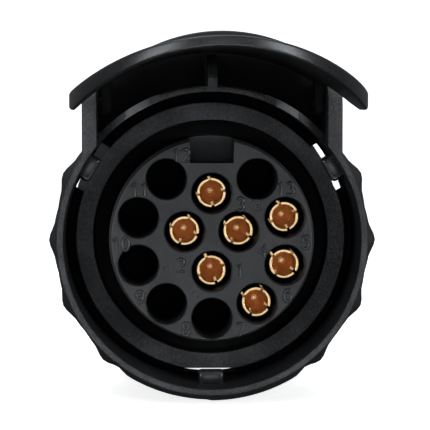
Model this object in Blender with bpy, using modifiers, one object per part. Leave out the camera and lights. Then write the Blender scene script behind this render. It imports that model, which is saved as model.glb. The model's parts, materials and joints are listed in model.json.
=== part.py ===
"""Compact trailer lighting adapter: 13-way socket in front, 7-way plug behind.

The origin is the centre of the contact face, the socket axis runs along Y, the
plug points to +Y and the lid hinge is at +Z.  The pieces are drawn with their
depths counted from the collar's front rim, and set back to the origin last.
Everything is in metres; the constants below are written in millimetres times MM.
"""
import math

import bmesh
import bpy
from mathutils import Matrix, Vector

MM = 0.001
GAP = 0.3 * MM                     # between pieces that touch

# --- driving dimensions ----------------------------------------------------
COLLAR_RADIUS = 29.0 * MM          # outside of the smooth front ring
COLLAR_WALL = 1.3 * MM
COLLAR_LENGTH = 29.0 * MM          # front rim to the end of the grip skirt
FLOOR_FRONT = 19.0 * MM            # depth of the trench floor
FLOOR_THICK = 2.5 * MM
GRIP_COUNT = 15                    # pitch of the crests, as a share of the circle
GRIP_CREST_HALF = 7.5              # half width of one crest, in degrees
GRIP_VALLEY = 0.3 * MM             # valley of the grip scallops above the front ring
GRIP_PLAIN_FROM = -57.0            # below this angle the sleeve is plain
GRIP_PLAIN = 0.77                  # and stands this share of the crest height
GRIP_HEIGHT = 1.55 * MM             # crest above the valley
GRIP_START = 3.2 * MM
COLLAR_SIDES = 5 * GRIP_COUNT

RING_OUTER = 25.8 * MM             # inner ring that the coupling sleeve rides on
RING_INNER = 22.4 * MM
RING_FRONT = 13.0 * MM

ISLAND_RADIUS = 19.35 * MM         # contact carrier
ISLAND_FRONT = 4.5 * MM
ISLAND_BACK = 26.6 * MM
WELL_RADIUS = 3.8 * MM
WELL_FLOOR = 21.7 * MM
OUTER_CIRCLE = 14.5 * MM           # radius of the outer contact circle
OUTER_CENTRE_Z = -0.35 * MM        # and the height of its centre
KEY_WIDTH = 8.3 * MM
KEY_FLOOR_Z = 14.35 * MM
KEY_DEPTH = 12.0 * MM

TUBE_RADIUS = 2.8 * MM             # split socket contacts
TUBE_BORE = 2.25 * MM
TUBE_FRONT = 8.0 * MM
TUBE_SLIT = 0.45 * MM
STEM_RADIUS = 1.4 * MM
TAIL_END = 30.4 * MM

BARREL_RADIUS = 24.0 * MM
BARREL_BORE = 22.0 * MM
BARREL_END = 29.0 * MM

PIN_CIRCLE = 11.5 * MM             # 7-way plug
PIN_RADIUS = 2.5 * MM
NECK_RADIUS = 22.6 * MM
NECK_BORE = 20.2 * MM
FLANGE_RADIUS = 27.8 * MM
FLANGE_FRONT = 48.0 * MM
FLANGE_THICK = 3.0 * MM
NOSE_RADIUS = 20.5 * MM
NOSE_BORE = 18.3 * MM
NOSE_LENGTH = 20.0 * MM            # from the back of the flange
CARRIER_LENGTH = 13.3 * MM         # pin carrier behind its shoulder
CLAMP_THICK = 1.5 * MM

LUG_COUNT = 3                      # bayonet lugs
LUG_REACH = 2.4 * MM               # inward from the collar wall
LUG_WIDTH = 5.0 * MM
LUG_FRONT = 8.5 * MM
LUG_LENGTH = 4.0 * MM
WINDOW_WIDTH = 10.0 * MM

LID_RADIUS = 26.4 * MM             # half width of the round part of the lid
LID_BOW = 36.0 * MM                # radius of the underside
LID_THICK = 2.4 * MM               # at the crown, more towards the ends
LID_TOP_BOW = 40.5 * MM            # radius of the outer face
LID_SHOULDER = (24.67 * MM, -8.2 * MM, -4.6 * MM)   # half width and y where the tail narrows
LID_UNDERSIDE = 35.1 * MM          # height of the underside at the crown, lid open
PAD_HALF = 13.3 * MM
PAD_HEIGHT = 0.6 * MM
HINGE_Y = 7.9 * MM
HINGE_Z = 25.5 * MM
HINGE_PIN_RADIUS = 1.2 * MM
EAR_INSIDE = 21.4 * MM
EAR_THICK = 2.8 * MM
EAR_TOP = 29.3 * MM
HOOD_FRONT = 14.8 * MM
HOOD_BACK = 16.8 * MM
RIB_THICK = 1.9 * MM
ARM_THICK = 1.8 * MM
ARM_RADIUS = 2.7 * MM

SCREW_CIRCLE = 25.4 * MM
POST_RADIUS = 2.1 * MM
WIRE_RADIUS = 1.0 * MM

# --- worked out from the above ---------------------------------------------
MOUTH_RADIUS = COLLAR_RADIUS - COLLAR_WALL
FLOOR_BACK = FLOOR_FRONT + FLOOR_THICK
LID_CENTRE_Y = HINGE_Y - HINGE_Z   # centre of the round part, lid open
LID_TAIL_HALF = EAR_INSIDE - 0.5 * MM
LID_TAIL_END = HINGE_Y + 4.1 * MM
BOW_CENTRE_Z = LID_UNDERSIDE - LID_BOW
PIN_HOLE = HINGE_PIN_RADIUS + GAP
NOSE_END = FLANGE_FRONT + FLANGE_THICK + NOSE_LENGTH
PLUG_SHOULDER = FLANGE_FRONT - 2.0 * MM
CARRIER_FACE = PLUG_SHOULDER + CARRIER_LENGTH
CARRIER_BACK = PLUG_SHOULDER - GAP - CLAMP_THICK
PIN_TIP = NOSE_END - 2.5 * MM
PIN_TAIL = CARRIER_BACK - GAP - CLAMP_THICK - 1.4 * MM

BLACK = (0.012, 0.012, 0.013)


# --- materials and collections ---------------------------------------------
def clear_scene():
    for item in list(bpy.data.objects):
        bpy.data.objects.remove(item, do_unlink=True)


def collection(name):
    group = bpy.data.collections.new(name)
    bpy.context.scene.collection.children.link(group)
    return group


def material(name, colour, roughness, metallic=0.0):
    made = bpy.data.materials.new(name)
    made.use_nodes = True
    shader = made.node_tree.nodes["Principled BSDF"]
    shader.inputs["Base Color"].default_value = (*colour, 1.0)
    shader.inputs["Roughness"].default_value = roughness
    shader.inputs["Metallic"].default_value = metallic
    return made


# --- solids -----------------------------------------------------------------
def place(name, mesh, group):
    made = bpy.data.objects.new(name, mesh)
    group.objects.link(made)
    return made


def as_mesh(source, group):
    """Turn a curve or a modified object into a plain welded mesh object."""
    graph = bpy.context.evaluated_depsgraph_get()
    mesh = bpy.data.meshes.new_from_object(source.evaluated_get(graph))
    mesh.transform(source.matrix_world)
    cleaner = bmesh.new()
    cleaner.from_mesh(mesh)
    bmesh.ops.remove_doubles(cleaner, verts=cleaner.verts, dist=1e-7)
    bmesh.ops.recalc_face_normals(cleaner, faces=cleaner.faces)
    cleaner.to_mesh(mesh)
    cleaner.free()
    name = source.name
    bpy.data.objects.remove(source, do_unlink=True)
    mesh.name = name
    return place(name, mesh, group)


def turned(name, profile, steps, group, centre=(0.0, 0.0)):
    """Turn (radius, depth) points about an axis parallel to Y through centre."""
    area = 0.0
    for (r0, d0), (r1, d1) in zip(profile, profile[1:] + profile[:1]):
        area += r0 * d1 - r1 * d0
    points = profile if area < 0 else profile[::-1]
    closed = min(point[0] for point in points) > 0
    if not closed:
        axis_ends = [index for index, point in enumerate(points) if point[0] == 0]
        start = axis_ends[0]
        if len(axis_ends) > 1 and axis_ends[1] == axis_ends[0] + 1:
            start = axis_ends[1]
        points = points[start:] + points[:start]
    mesh = bpy.data.meshes.new(name)
    vertices = [(radius, 0.0, depth) for radius, depth in points]
    edges = [(index, index + 1) for index in range(len(points) - 1)]
    if closed:
        edges.append((len(points) - 1, 0))
    mesh.from_pydata(vertices, edges, [])
    made = place(name, mesh, group)
    made.rotation_euler = (-math.pi / 2, 0.0, 0.0)
    made.location = (centre[0], 0.0, centre[1])
    screw = made.modifiers.new("turn", "SCREW")
    screw.axis = "Z"
    screw.angle = 2 * math.pi
    screw.steps = steps
    screw.render_steps = steps
    screw.use_merge_vertices = True
    screw.merge_threshold = 1e-6
    bpy.context.view_layer.update()
    return as_mesh(made, group)


def prism(name, outlines, start, end, axis, group):
    """Extrude flat outlines along one world axis, from start to end.

    Outline points are (x, y) for axis Z, (x, z) for axis Y and (y, z) for axis X.
    """
    curve = bpy.data.curves.new(name, "CURVE")
    curve.dimensions = "2D"
    curve.fill_mode = "BOTH"
    curve.extrude = abs(end - start) / 2
    for outline in outlines:
        spline = curve.splines.new("POLY")
        spline.points.add(len(outline) - 1)
        for point, (a, b) in zip(spline.points, outline):
            point.co = (a, b, 0.0, 1.0)
        spline.use_cyclic_u = True
    made = place(name, curve, group)
    middle = (start + end) / 2
    if axis == "Z":
        frame = Matrix.Translation((0, 0, middle))
    elif axis == "Y":
        frame = Matrix(((1, 0, 0, 0), (0, 0, -1, middle), (0, 1, 0, 0), (0, 0, 0, 1)))
    else:
        frame = Matrix(((0, 0, 1, middle), (1, 0, 0, 0), (0, 1, 0, 0), (0, 0, 0, 1)))
    made.matrix_world = frame
    bpy.context.view_layer.update()
    return as_mesh(made, group)


def block(name, low, high, group, turn=0.0):
    """A box between two corners, turned about the socket axis."""
    maker = bmesh.new()
    bmesh.ops.create_cube(maker, size=1.0)
    low = Vector(low)
    high = Vector(high)
    size = high - low
    middle = (high + low) / 2
    move = Matrix.Translation(middle) @ Matrix.Diagonal((*size, 1.0))
    bmesh.ops.transform(maker, matrix=Matrix.Rotation(-turn, 4, "Y") @ move, verts=maker.verts)
    mesh = bpy.data.meshes.new(name)
    maker.to_mesh(mesh)
    maker.free()
    return place(name, mesh, group)


def rod(name, radius, start, end, axis, centre, sides, group):
    """A cylinder along X or Y; centre gives its other two coordinates."""
    maker = bmesh.new()
    bmesh.ops.create_cone(maker, cap_ends=True, segments=sides, radius1=radius,
                          radius2=radius, depth=end - start)
    middle = (start + end) / 2
    if axis == "Y":
        turn = Matrix.Rotation(math.pi / 2, 4, "X")
        move = Matrix.Translation((centre[0], middle, centre[1]))
    else:
        turn = Matrix.Rotation(math.pi / 2, 4, "Y")
        move = Matrix.Translation((middle, centre[0], centre[1]))
    bmesh.ops.transform(maker, matrix=move @ turn, verts=maker.verts)
    mesh = bpy.data.meshes.new(name)
    maker.to_mesh(mesh)
    maker.free()
    return place(name, mesh, group)


def combine(target, tool, operation):
    boolean = target.modifiers.new(operation.lower(), "BOOLEAN")
    boolean.operation = operation
    boolean.solver = "EXACT"
    boolean.object = tool
    tool.hide_render = True
    tool.display_type = "WIRE"


def finish(made, coat, smooth_angle=35.0):
    made.data.materials.clear()
    made.data.materials.append(coat)
    made.data.shade_smooth()
    made.data.set_sharp_from_angle(angle=math.radians(smooth_angle))


def ring(inner, outer, start, end):
    return [(outer, end), (outer, start), (inner, start), (inner, end)]


def on_circle(radius, degrees):
    angle = math.radians(degrees)
    return (radius * math.cos(angle), radius * math.sin(angle))


# --- layout of the contacts --------------------------------------------------
def outer_place(degrees):
    x, z = on_circle(OUTER_CIRCLE, degrees)
    return (x, z + OUTER_CENTRE_Z)


def socket_positions():
    """Contact number -> (x, z), seen from the mating side."""
    places = {
        1: (0.0, -6.0 * MM),
        2: (-5.1 * MM, 1.5 * MM),
        3: (0.0, 8.7 * MM),
        4: (5.1 * MM, 1.5 * MM),
    }
    for step, number in enumerate((5, 6, 7, 8, 9, 10, 11, 12)):
        places[number] = outer_place(18 - 36 * step)
    places[13] = outer_place(54)
    return places


def plug_positions():
    """Pin number -> (x, z), seen from the socket side."""
    places = {number: on_circle(PIN_CIRCLE, 300 - 60 * number) for number in range(1, 7)}
    places[7] = (0.0, 0.0)
    return places


FITTED = range(1, 8)
SLIT_TURN = {1: 22, 2: 71, 3: 8, 4: 62, 5: 20, 6: 53, 7: 65}


# --- socket half --------------------------------------------------------------
def raise_grip(shell):
    """Push the sleeve behind the front ring out into soft crests, alike on both sides."""
    for vertex in shell.data.vertices:
        x, _, z = vertex.co
        radius = math.hypot(x, z)
        if radius > COLLAR_RADIUS + GRIP_VALLEY / 2:
            step = 360 / GRIP_COUNT
            angle = math.degrees(math.atan2(z, abs(x)))
            away = abs((angle + step / 2) % step - step / 2)
            bump = max(0.0, 1 - (away / GRIP_CREST_HALF) ** 2) ** 1.6
            shape = 0.1 + 0.35 * (1 - 2 * away / step) + 0.55 * bump
            if angle < GRIP_PLAIN_FROM:
                shape = GRIP_PLAIN
            grown = radius + GRIP_HEIGHT * shape
            if z > 0 and abs(x) < EAR_INSIDE + EAR_THICK / 2:
                grown = COLLAR_RADIUS      # plain between the ears, where the lid swings
            vertex.co.x = x * grown / radius
            vertex.co.z = z * grown / radius


def hood_outline():
    """Back wall between the ears, bowed like the lid and just behind its tail."""
    half = EAR_INSIDE + EAR_THICK - 0.4 * MM
    bow = LID_BOW + 1.5 * MM
    foot = 16.0 * MM
    points = [(-half, foot), (half, foot)]
    for step in range(13):
        x = half * (1 - step / 6)
        points.append((x, BOW_CENTRE_Z + math.sqrt(bow * bow - x * x)))
    return points


def rib_outline():
    """Centre rib: its front follows the swing of the lid's underside."""
    reach = LID_UNDERSIDE - HINGE_Z - 0.4 * MM
    foot = MOUTH_RADIUS + 0.6 * MM
    points = [(HOOD_FRONT + 1.0 * MM, foot), (HOOD_FRONT + 1.0 * MM, HINGE_Z + reach)]
    for step in range(9):
        angle = math.radians(90 + 60 * step / 8)
        y = HINGE_Y + reach * math.cos(angle)
        z = HINGE_Z + reach * math.sin(angle)
        if y > 0:
            points.append((y, z))
    points.append((0.0, HINGE_Z + math.sqrt(reach ** 2 - HINGE_Y ** 2)))
    points.append((0.0, foot))
    return points


def lid_relief_outline():
    """Plan of what the closed lid's bowed tail needs cut from the top rim."""
    clear = 0.5 * MM
    crown = HINGE_Y + HINGE_Z - LID_UNDERSIDE
    centre_y = crown + LID_BOW
    bow = LID_BOW - clear
    half = EAR_INSIDE + 0.1 * MM
    points = []
    for step in range(17):
        x = half * (1 - step / 8)
        points.append((x, centre_y - math.sqrt(bow * bow - x * x)))
    points += [(-half, -8.0 * MM), (half, -8.0 * MM)]
    return points


def outside_collar(form, cutters):
    """Trim a form so that it only reaches into the collar's wall, not past it."""
    inside = rod("wall_cutter", COLLAR_RADIUS - 0.4 * MM, -5.0 * MM, COLLAR_LENGTH + 5.0 * MM,
                 "Y", (0, 0), COLLAR_SIDES, cutters)
    combine(form, inside, "DIFFERENCE")
    return as_mesh(form, cutters)


def make_socket_shell(parts, cutters):
    lip = 0.5 * MM
    sleeve = COLLAR_RADIUS + GRIP_VALLEY
    profile = [
        (COLLAR_RADIUS, COLLAR_LENGTH), (sleeve, COLLAR_LENGTH - lip),
        (sleeve, GRIP_START + GRIP_VALLEY), (COLLAR_RADIUS, GRIP_START),
        (COLLAR_RADIUS, lip), (COLLAR_RADIUS - lip, 0.0),
        (MOUTH_RADIUS + lip / 2, 0.0), (MOUTH_RADIUS, lip / 2), (MOUTH_RADIUS, FLOOR_FRONT),
        (RING_OUTER, FLOOR_FRONT), (RING_OUTER, RING_FRONT), (RING_INNER, RING_FRONT),
        (RING_INNER, FLOOR_FRONT), (ISLAND_RADIUS + 0.35 * MM, FLOOR_FRONT),
        (ISLAND_RADIUS + 0.35 * MM, FLOOR_BACK), (BARREL_BORE, FLOOR_BACK),
        (BARREL_BORE, BARREL_END), (BARREL_RADIUS, BARREL_END), (BARREL_RADIUS, FLOOR_BACK),
        (MOUTH_RADIUS, FLOOR_BACK), (MOUTH_RADIUS, COLLAR_LENGTH),
    ]
    shell = turned("socket_shell", profile, COLLAR_SIDES, parts)

    raise_grip(shell)

    for side in (-1, 1):
        low, high = sorted((side * EAR_INSIDE, side * (EAR_INSIDE + EAR_THICK)))
        foot = 15.0 * MM
        ear_plan = [(0.05 * MM, foot), (HOOD_BACK, foot), (HOOD_BACK, EAR_TOP - 1.5 * MM),
                    (HOOD_BACK - 1.5 * MM, EAR_TOP), (5.0 * MM, EAR_TOP),
                    (2.0 * MM, EAR_TOP - 0.9 * MM), (0.05 * MM, EAR_TOP - 3.4 * MM)]
        ear = prism("ear_form", [ear_plan], low, high, "X", cutters)
        combine(shell, outside_collar(ear, cutters), "UNION")
    hood = prism("hood_form", [hood_outline()], HOOD_FRONT, HOOD_BACK - 0.4 * MM, "Y", cutters)
    combine(shell, outside_collar(hood, cutters), "UNION")
    rib = prism("rib_form", [rib_outline()], -RIB_THICK / 2, RIB_THICK / 2, "X", cutters)
    combine(shell, rib, "UNION")
    relief = prism("lid_relief_cutter", [lid_relief_outline()], 17.2 * MM, 34.0 * MM, "Z", cutters)
    combine(shell, relief, "DIFFERENCE")
    for side in (-1, 1):
        hole = rod("hinge_hole", PIN_HOLE, (EAR_INSIDE - 1.0 * MM) if side > 0 else
                   -(EAR_INSIDE + EAR_THICK + 1.0 * MM),
                   (EAR_INSIDE + EAR_THICK + 1.0 * MM) if side > 0 else -(EAR_INSIDE - 1.0 * MM),
                   "X", (HINGE_Y, HINGE_Z), 20, cutters)
        combine(shell, hole, "DIFFERENCE")

    for index in range(LUG_COUNT):
        direction = math.radians(30 + 120 * index)
        lug = block("lug_form", (MOUTH_RADIUS - LUG_REACH, LUG_FRONT, -LUG_WIDTH / 2),
                    (MOUTH_RADIUS + 0.5 * MM, LUG_FRONT + LUG_LENGTH, LUG_WIDTH / 2),
                    cutters, direction)
        edge = lug.modifiers.new("round", "BEVEL")
        edge.width = 0.5 * MM
        edge.segments = 2
        combine(shell, lug, "UNION")
        window = block("window_cutter", (RING_OUTER - 0.5 * MM, RING_FRONT - 0.2 * MM,
                                         -WINDOW_WIDTH / 2),
                       (MOUTH_RADIUS - 0.5 * MM, FLOOR_BACK + 1.0 * MM, WINDOW_WIDTH / 2),
                       cutters, direction)
        combine(shell, window, "DIFFERENCE")
        post_at = on_circle(SCREW_CIRCLE, 90 + 120 * index)
        post = rod("post_form", POST_RADIUS, FLOOR_BACK - 1.0 * MM, FLANGE_FRONT - GAP, "Y",
                   post_at, 24, cutters)
        combine(shell, post, "UNION")
        bore = rod("post_bore", 1.3 * MM + GAP, FLOOR_BACK + 4.0 * MM, FLANGE_FRONT, "Y",
                   post_at, 16, cutters)
        combine(shell, bore, "DIFFERENCE")
    return shell


def make_socket_insert(parts, cutters):
    profile = [
        (0.0, ISLAND_BACK), (BARREL_BORE - 0.4 * MM, ISLAND_BACK),
        (BARREL_BORE - 0.4 * MM, FLOOR_BACK + 1.6 * MM),
        (ISLAND_RADIUS, FLOOR_BACK + 1.6 * MM), (ISLAND_RADIUS, ISLAND_FRONT + 0.4 * MM),
        (ISLAND_RADIUS - 0.4 * MM, ISLAND_FRONT), (0.0, ISLAND_FRONT),
    ]
    insert = turned("socket_insert", profile, 60, parts)
    for number, centre in socket_positions().items():
        well = rod("well_cutter", WELL_RADIUS, ISLAND_FRONT - 2.0 * MM, WELL_FLOOR, "Y", centre,
                   20, cutters)
        combine(insert, well, "DIFFERENCE")
        if number in FITTED:
            stem = rod("stem_cutter", STEM_RADIUS + GAP, WELL_FLOOR - 1.0 * MM,
                       ISLAND_BACK + 1.0 * MM, "Y", centre, 12, cutters)
            combine(insert, stem, "DIFFERENCE")
    key = block("key_cutter", (-KEY_WIDTH / 2, ISLAND_FRONT - 2.0 * MM, KEY_FLOOR_Z),
                (KEY_WIDTH / 2, ISLAND_FRONT + KEY_DEPTH, ISLAND_RADIUS + 2.0 * MM), cutters)
    combine(insert, key, "DIFFERENCE")
    return insert


def make_contact(number, centre, parts, cutters):
    """A turned tube with a drilled bore, four slits and a crimp tail."""
    bore_end = TUBE_FRONT + 9.0 * MM
    back = WELL_FLOOR - GAP
    profile = [
        (0.0, TAIL_END), (STEM_RADIUS, TAIL_END), (STEM_RADIUS, back), (TUBE_RADIUS, back),
        (TUBE_RADIUS, TUBE_FRONT + 0.2 * MM), (TUBE_RADIUS - 0.2 * MM, TUBE_FRONT),
        (TUBE_BORE + 0.15 * MM, TUBE_FRONT), (TUBE_BORE, TUBE_FRONT + 0.3 * MM),
        (TUBE_BORE, bore_end), (0.0, bore_end + 1.3 * MM),
    ]
    contact = turned("socket_contact_%d" % number, profile, 16, parts, centre)
    for quarter in range(2):
        slit = block("slit_cutter", (-TUBE_RADIUS - 1.0 * MM, TUBE_FRONT - 1.0 * MM, -TUBE_SLIT / 2),
                     (TUBE_RADIUS + 1.0 * MM, TUBE_FRONT + 7.0 * MM, TUBE_SLIT / 2), cutters,
                     math.radians(SLIT_TURN[number] + 90 * quarter))
        slit.location = (centre[0], 0.0, centre[1])
        combine(contact, slit, "DIFFERENCE")
    return contact


def make_clamp_plate(name, radius, start, end, places, parts, cutters):
    """The disc that holds a set of contacts in from behind."""
    plate = rod(name, radius, start, end, "Y", (0, 0), 60, parts)
    for centre in places:
        hole = rod("tail_cutter", STEM_RADIUS + GAP, start - 1.0 * MM, end + 1.0 * MM, "Y",
                   centre, 12, cutters)
        combine(plate, hole, "DIFFERENCE")
    return plate


# --- lid -----------------------------------------------------------------------
def lid_plan():
    """Round lid narrowing to a straight tail between the ears, in plan (x, y), lid open."""
    half, start, end = LID_SHOULDER
    meet = math.atan2(half, start - LID_CENTRE_Y)
    points = []
    steps = 40
    for step in range(steps + 1):
        angle = meet + (2 * math.pi - 2 * meet) * step / steps
        points.append((LID_RADIUS * math.sin(angle), LID_CENTRE_Y + LID_RADIUS * math.cos(angle)))
    corner = 1.5 * MM
    points += [(-LID_TAIL_HALF, end), (-LID_TAIL_HALF, LID_TAIL_END - corner),
               (-LID_TAIL_HALF + corner, LID_TAIL_END), (LID_TAIL_HALF - corner, LID_TAIL_END),
               (LID_TAIL_HALF, LID_TAIL_END - corner), (LID_TAIL_HALF, end)]
    return points


def bow_height(radius, crown, x):
    return crown - radius + math.sqrt(radius * radius - x * x)


def bow_outline(top, bottom, half, steps):
    """Section of a bowed plate; top and bottom are (radius, crown height)."""
    points = []
    for step in range(steps + 1):
        x = half * (2 * step / steps - 1)
        points.append((x, bow_height(*top, x)))
    for step in range(steps + 1):
        x = half * (1 - 2 * step / steps)
        points.append((x, bow_height(*bottom, x)))
    return points


def make_lid(parts, cutters):
    crown = LID_UNDERSIDE + LID_THICK
    edge = LID_RADIUS + 1.0 * MM
    section = bow_outline((LID_TOP_BOW, crown), (LID_BOW, LID_UNDERSIDE), edge, 24)
    lid = prism("lid", [section], LID_CENTRE_Y - LID_RADIUS - 1.0 * MM, LID_TAIL_END + 1.0 * MM,
                "Y", parts)
    plan = prism("lid_plan", [lid_plan()], 15.0 * MM, 45.0 * MM, "Z", cutters)
    combine(lid, plan, "INTERSECT")
    pad = prism("pad_form", [bow_outline((LID_TOP_BOW, crown + PAD_HEIGHT),
                                         (LID_TOP_BOW, crown - 0.6 * MM), PAD_HALF, 12)],
                LID_CENTRE_Y - 16.0 * MM, LID_CENTRE_Y + 12.0 * MM, "Y", cutters)
    combine(lid, pad, "UNION")
    for side in (-1, 1):
        inner = LID_TAIL_HALF - ARM_THICK
        low, high = sorted((side * inner, side * LID_TAIL_HALF))
        top = BOW_CENTRE_Z + math.sqrt(LID_BOW ** 2 - LID_TAIL_HALF ** 2) + 1.6 * MM
        arm_plan = [(HINGE_Y + ARM_RADIUS, top), (HINGE_Y - ARM_RADIUS, top)]
        for step in range(13):
            angle = math.pi + math.pi * step / 12
            arm_plan.append((HINGE_Y + ARM_RADIUS * math.cos(angle),
                             HINGE_Z + ARM_RADIUS * math.sin(angle)))
        arm = prism("arm_form", [arm_plan], low, high, "X", cutters)
        combine(lid, arm, "UNION")
        hole = rod("arm_hole", PIN_HOLE, low - 1.0 * MM, high + 1.0 * MM, "X",
                   (HINGE_Y, HINGE_Z), 20, cutters)
        combine(lid, hole, "DIFFERENCE")
    return lid


def make_hinge_pin(name, side, parts):
    inner = LID_TAIL_HALF - ARM_THICK - 0.3 * MM
    low, high = sorted((side * inner, side * (EAR_INSIDE + EAR_THICK - 0.2 * MM)))
    return rod(name, HINGE_PIN_RADIUS, low, high, "X", (HINGE_Y, HINGE_Z), 20, parts)


# --- plug half -----------------------------------------------------------------
def make_plug_housing(parts, cutters):
    neck_start = BARREL_END + 1.6 * MM
    lip = 0.8 * MM
    profile = [
        (NOSE_RADIUS - lip, NOSE_END), (NOSE_RADIUS, NOSE_END - lip),
        (NOSE_RADIUS, FLANGE_FRONT + FLANGE_THICK), (FLANGE_RADIUS, FLANGE_FRONT + FLANGE_THICK),
        (FLANGE_RADIUS, FLANGE_FRONT), (NECK_RADIUS, FLANGE_FRONT), (NECK_RADIUS, neck_start),
        (NECK_BORE, neck_start), (NECK_BORE, PLUG_SHOULDER), (NOSE_BORE, PLUG_SHOULDER),
        (NOSE_BORE, NOSE_END),
    ]
    housing = turned("plug_housing", profile, 60, parts)
    key = block("key_form", (-2.0 * MM, FLANGE_FRONT + 1.0 * MM, -NOSE_RADIUS - 1.3 * MM),
                (2.0 * MM, NOSE_END - 4.0 * MM, -NOSE_RADIUS + 0.6 * MM), cutters)
    combine(housing, key, "UNION")
    hook = block("hook_form", (-5.0 * MM, FLANGE_FRONT, FLANGE_RADIUS - 1.5 * MM),
                 (5.0 * MM, FLANGE_FRONT + FLANGE_THICK, FLANGE_RADIUS + 1.6 * MM), cutters)
    combine(housing, hook, "UNION")
    for index in range(3):
        at = on_circle(SCREW_CIRCLE, 90 + 120 * index)
        hole = rod("screw_hole", 1.7 * MM, FLANGE_FRONT - 1.0 * MM,
                   FLANGE_FRONT + FLANGE_THICK + 1.0 * MM, "Y", at, 20, cutters)
        combine(housing, hole, "DIFFERENCE")
    return housing


def make_plug_insert(parts, cutters):
    profile = [
        (0.0, CARRIER_FACE), (NOSE_BORE - GAP, CARRIER_FACE),
        (NOSE_BORE - GAP, PLUG_SHOULDER - GAP), (NECK_BORE - GAP, PLUG_SHOULDER - GAP),
        (NECK_BORE - GAP, CARRIER_BACK), (0.0, CARRIER_BACK),
    ]
    insert = turned("plug_insert", profile, 60, parts)
    for centre in plug_positions().values():
        hole = rod("pin_cutter", STEM_RADIUS + GAP, CARRIER_BACK - 1.0 * MM,
                   CARRIER_FACE + 1.0 * MM, "Y", centre, 12, cutters)
        combine(insert, hole, "DIFFERENCE")
    return insert


def make_plug_pin(number, centre, parts, cutters):
    """A turned pin with a rounded, split tip and a crimp tail."""
    shoulder = CARRIER_FACE + GAP
    profile = [(0.0, PIN_TIP)]
    for step in range(1, 4):
        angle = math.radians(30 * step)
        profile.append((PIN_RADIUS * math.sin(angle), PIN_TIP - PIN_RADIUS * 0.7 *
                        (1 - math.cos(angle))))
    profile += [(PIN_RADIUS, shoulder), (STEM_RADIUS, shoulder), (STEM_RADIUS, PIN_TAIL),
                (0.0, PIN_TAIL)]
    pin = turned("plug_pin_%d" % number, profile, 16, parts, centre)
    slit = block("pin_slit", (-PIN_RADIUS - 1.0 * MM, PIN_TIP - 7.0 * MM, -0.3 * MM),
                 (PIN_RADIUS + 1.0 * MM, PIN_TIP + 1.0 * MM, 0.3 * MM), cutters,
                 math.radians(60 * number))
    slit.location = (centre[0], 0.0, centre[1])
    combine(pin, slit, "DIFFERENCE")
    return pin


def make_screw(number, at, parts, cutters):
    head_seat = FLANGE_FRONT + FLANGE_THICK + GAP
    profile = [
        (0.0, head_seat + 1.8 * MM), (2.0 * MM, head_seat + 1.8 * MM),
        (2.6 * MM, head_seat + 1.1 * MM), (2.6 * MM, head_seat), (1.3 * MM, head_seat),
        (1.3 * MM, FLOOR_BACK + 6.0 * MM), (0.0, FLOOR_BACK + 5.0 * MM),
    ]
    screw = turned("housing_screw_%d" % number, profile, 16, parts, at)
    for quarter in range(2):
        slot = block("drive_cutter", (-1.5 * MM, head_seat + 0.8 * MM, -0.3 * MM),
                     (1.5 * MM, head_seat + 3.0 * MM, 0.3 * MM), cutters,
                     math.radians(90 * quarter + 20))
        slot.location = (at[0], 0.0, at[1])
        combine(screw, slot, "DIFFERENCE")
    return screw


def make_wire(number, start, end, parts):
    """A link wire from a contact's tail to a pin's tail, in one soft S."""
    front = TAIL_END + 2 * GAP
    back = PIN_TAIL - 2 * GAP
    curve = bpy.data.curves.new("link_wire_%d" % number, "CURVE")
    curve.dimensions = "3D"
    curve.bevel_depth = WIRE_RADIUS
    curve.bevel_resolution = 2
    curve.use_fill_caps = True
    spline = curve.splines.new("POLY")
    count = 8
    spline.points.add(count)
    for index, point in enumerate(spline.points):
        t = index / count
        run = min(max((t - 0.15) / 0.7, 0.0), 1.0)
        ease = run * run * (3 - 2 * run)
        point.co = (start[0] + (end[0] - start[0]) * ease, front + (back - front) * t,
                    start[1] + (end[1] - start[1]) * ease, 1.0)
    return as_mesh(place(curve.name, curve, parts), parts)


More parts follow.
